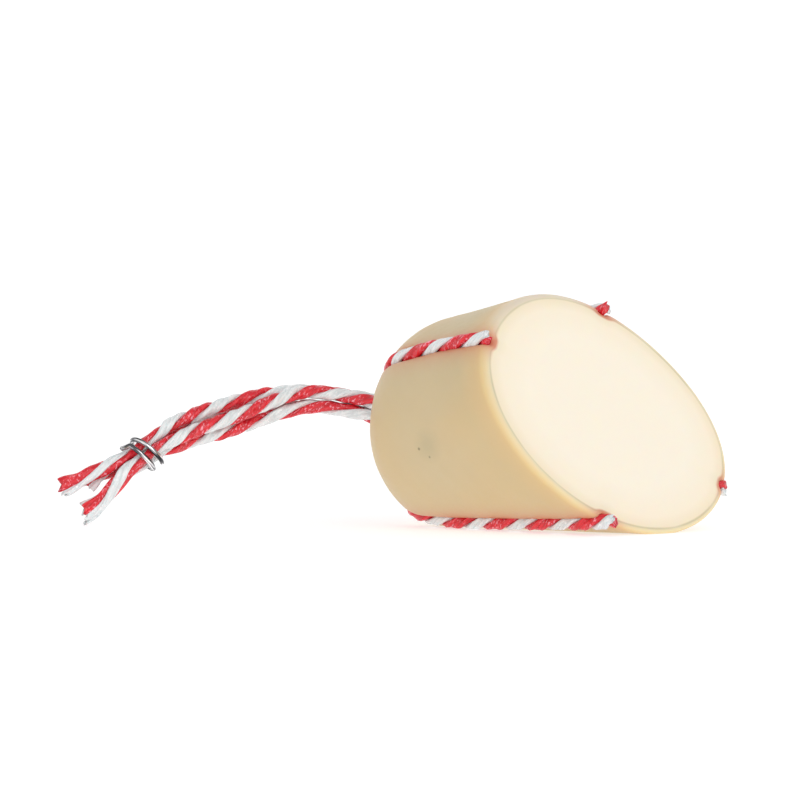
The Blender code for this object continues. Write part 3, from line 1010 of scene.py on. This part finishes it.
def paler_high_on_edge(nodes, links, place, from_rim, colour):
    """A greyer white on the edge, coming in with height and leaving at the paste."""
    height = nodes.new("ShaderNodeSeparateXYZ")
    links.new(place, height.inputs[0])
    high = add_range(nodes, links, height.outputs["Z"], 0.062, 0.076)
    close = add_range(nodes, links, from_rim, -4.5, -0.5, 0.0, 0.75)
    share = add_mix(nodes, links, high, BLACK, close)
    on_paste = add_range(nodes, links, from_rim, 1.6, 2.4)
    share = add_mix(nodes, links, on_paste, share, BLACK)
    return add_mix(nodes, links, share, colour, linear(226, 214, 198))


# %% Marks on the rind
# Place, radius, colour and strength of each: a soft grey smudge with two pinholes.
MARKS = [((-0.0106, -0.0448, 0.0296), 0.0068, linear(152, 148, 114), 0.22),
         ((-0.0148, -0.0441, 0.0284), 0.0007, linear(118, 104, 74), 0.85),
         ((-0.0105, -0.0438, 0.0257), 0.0006, linear(120, 106, 76), 0.75)]


def add_mark(nodes, links, place, colour, mark):
    """The colour with one soft round mark on it, fading out from its middle."""
    middle, radius, stain, strength = mark
    away = nodes.new("ShaderNodeVectorMath")
    away.operation = "DISTANCE"
    links.new(place, away.inputs[0])
    away.inputs[1].default_value = middle
    share = add_range(nodes, links, away.outputs["Value"], radius, radius * 0.2, 0.0, strength)
    return add_mix(nodes, links, share, colour, stain)


print(len(MARKS), "marks on the rind")

# %% Finish of the cheese
def skin_surface(nodes, links, place, shader):
    """Soft shine, light let in a few millimetres, and a fine grain under broader dents."""
    fine = add_noise(nodes, links, place, 900.0, 3.0)
    links.new(add_range(nodes, links, fine, 0.3, 0.7, 0.40, 0.52), shader.inputs["Roughness"])
    shader.inputs["Subsurface Weight"].default_value = 0.35
    shader.inputs["Subsurface Radius"].default_value = (1.0, 0.62, 0.30)
    shader.inputs["Subsurface Scale"].default_value = 0.004
    grain = add_bump(nodes, links, fine, 0.06, 0.0004)
    skin = add_noise(nodes, links, place, 160.0, 4.0, 0.6)
    links.new(add_bump(nodes, links, skin, 0.08, 0.0008, grain), shader.inputs["Normal"])


def cheese_material():
    """The layers of colour in turn, from the ramp to the marks."""
    made, nodes, links, shader = new_material("provolone_paste_and_rind")
    place = nodes.new("ShaderNodeTexCoord").outputs["Object"]
    from_rim = add_attribute(nodes, "from_rim")
    colour = edge_colours(nodes, links, place, from_rim)
    colour = clouded(nodes, links, place, from_rim, colour)
    colour = paler_high_on_edge(nodes, links, place, from_rim, colour)
    # Painted red bounce light from the twine, laid on the rind under and beside each string.
    pressed = add_range(nodes, links, add_attribute(nodes, "beside_string"), 0.05, 0.9, 0.0, 0.90)
    colour = add_mix(nodes, links, pressed, colour, linear(214, 130, 100))
    for mark in MARKS:
        colour = add_mark(nodes, links, place, colour, mark)
    links.new(colour, shader.inputs["Base Color"])
    skin_surface(nodes, links, place, shader)
    return made


cheese = make_cheese(cheese_material())

# %% [markdown]
# The cheese lies on a white sweep, a level floor that curves up far behind; a plain plane would
# end in a line. It glows a little, which keeps it white under the soft shadow.

# %% Floor
def make_floor():
    """A pale sweep: level under the cheese, then curving up far behind."""
    turn = CAMERA_TURN
    back = np.array([-math.sin(turn), math.cos(turn), 0.0])
    right = np.array([math.cos(turn), math.sin(turn), 0.0])
    rise = np.linspace(0, math.pi / 2, 24)
    depth = np.concatenate([[-3.0], 3.0 + 1.5 * np.sin(rise), [4.5]])
    height = np.concatenate([[0.0], 1.5 * (1 - np.cos(rise)), [6.0]])
    rows = []
    for aside in (-5.0, 5.0):
        rows.append(right * aside + back * depth[:, None] + np.array([0, 0, 1.0]) * height[:, None])
    vertices = np.vstack(rows)
    count = len(depth)
    start = np.arange(count - 1)
    quads = np.stack([start, start + count, start + count + 1, start + 1], axis=-1)
    made, nodes, links, shader = new_material("pale_floor")
    shader.inputs["Base Color"].default_value = (0.6, 0.6, 0.6, 1.0)
    shader.inputs["Roughness"].default_value = 0.9
    shader.inputs["Emission Color"].default_value = (1.0, 1.0, 1.0, 1.0)
    shader.inputs["Emission Strength"].default_value = 0.55
    return new_piece("floor", vertices, quads, np.zeros((0, 3), int), [made])


floor = make_floor()

# %% [markdown]
# One large soft light stands in front and to the right. It could be aimed with a constraint,
# but two angles from its place to its aim do the same.

# %% Key light
def add_light(name, place, aim, size, power):
    """A square light: tilt is its angle from straight down, pan its bearing."""
    lamp = bpy.data.lights.new(name, "AREA")
    lamp.shape = "SQUARE"
    lamp.size = size
    lamp.energy = power
    light = bpy.data.objects.new(name, lamp)
    light.location = place
    direction = np.array(aim) - np.array(place)
    pan = math.atan2(direction[1], direction[0])
    tilt = math.acos(-direction[2] / np.linalg.norm(direction))
    light.rotation_euler = (tilt, 0.0, pan - math.pi / 2)
    bpy.context.collection.objects.link(light)
    return light


key = add_light("key", (1.0, -0.45, 0.75), (0.0, 0.0, 0.03), 0.9, 3.6)
print("key light of", round(key.data.energy, 2), "W")

# %% [markdown]
# The rest of the light comes from all round, like a white tent. It could be four more lamps. A
# world shader with one ramp over height gives the same even light with less noise.

# %% White surroundings
def make_world():
    """Even white surroundings that are darker straight overhead."""
    world = bpy.data.worlds.new("studio")
    world.use_nodes = True
    nodes, links = world.node_tree.nodes, world.node_tree.links
    split = nodes.new("ShaderNodeSeparateXYZ")
    links.new(nodes.new("ShaderNodeTexCoord").outputs["Generated"], split.inputs[0])
    shade = add_range(nodes, links, split.outputs["Z"], 0.25, 1.0, 1.0, 0.45)
    links.new(shade, nodes["Background"].inputs["Strength"])
    nodes["Background"].inputs["Color"].default_value = (1.0, 1.0, 1.0, 1.0)
    bpy.context.scene.world = world
    return world


print("surroundings:", make_world().name)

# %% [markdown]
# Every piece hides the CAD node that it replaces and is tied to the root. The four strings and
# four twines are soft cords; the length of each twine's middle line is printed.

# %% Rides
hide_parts("cheese")
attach(cheese, "root")
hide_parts("clip")
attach(clip, "root")
for name, piece in twine_pieces.items():
    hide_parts(name)
    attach(piece, "root")
for name, points in cord_lines.items():
    print(name, "is", round(reached(points)[-1] * 1000, 1), "mm long")
